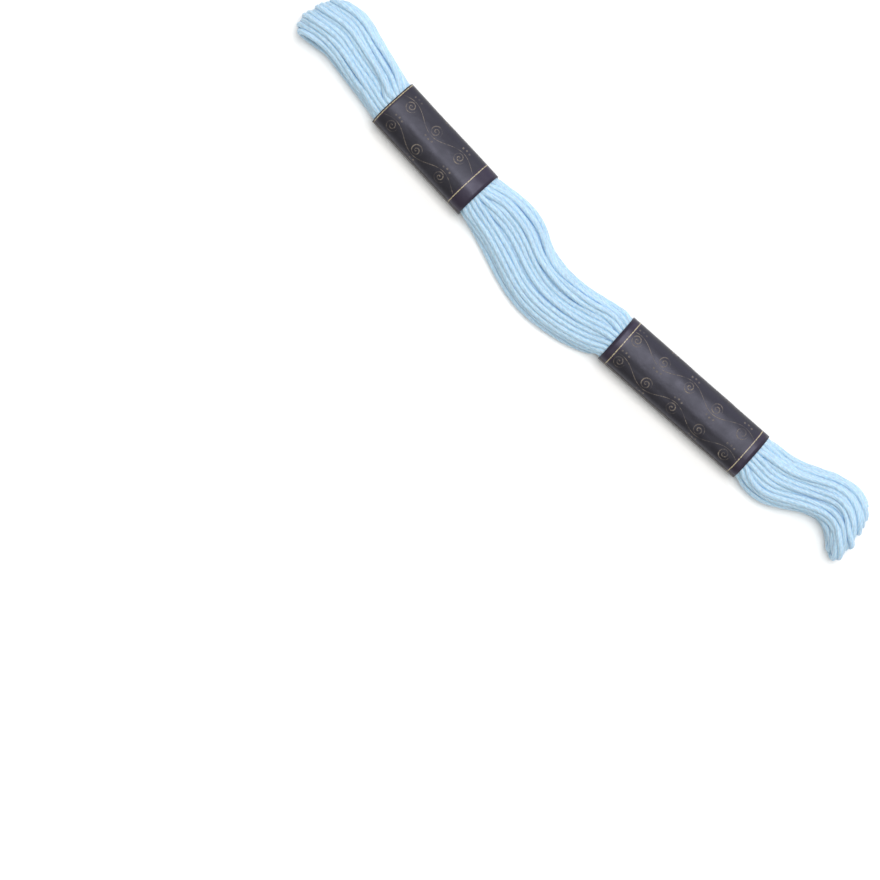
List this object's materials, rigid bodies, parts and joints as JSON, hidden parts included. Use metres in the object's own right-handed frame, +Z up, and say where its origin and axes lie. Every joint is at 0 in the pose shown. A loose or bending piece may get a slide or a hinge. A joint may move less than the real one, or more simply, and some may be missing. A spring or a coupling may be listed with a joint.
{
  "type": "skein of embroidery floss",
  "caption": "Pull skein of light-blue embroidery floss: one thread wound into a long flat wavy hank with folded ends, held by two black paper bands.",
  "frame": {"origin": "on the surface it lies on, under the middle of its outline seen from above", "axes": "+X along the skein from the short band's end to the long band's end, +Y across it, +Z up"},
  "size_m": [0.1655, 0.0237, 0.0082],
  "materials": {
    "floss": "mercerised stranded cotton, soft sheen along the strands",
    "band_paper": "satin black coated paper with a thin gold line near each end and fine gold scrolls"
  },
  "bodies": {
    "root": {"floss_hank": "floss", "short_band": "band_paper", "long_band": "band_paper"}
  },
  "joints": []
}
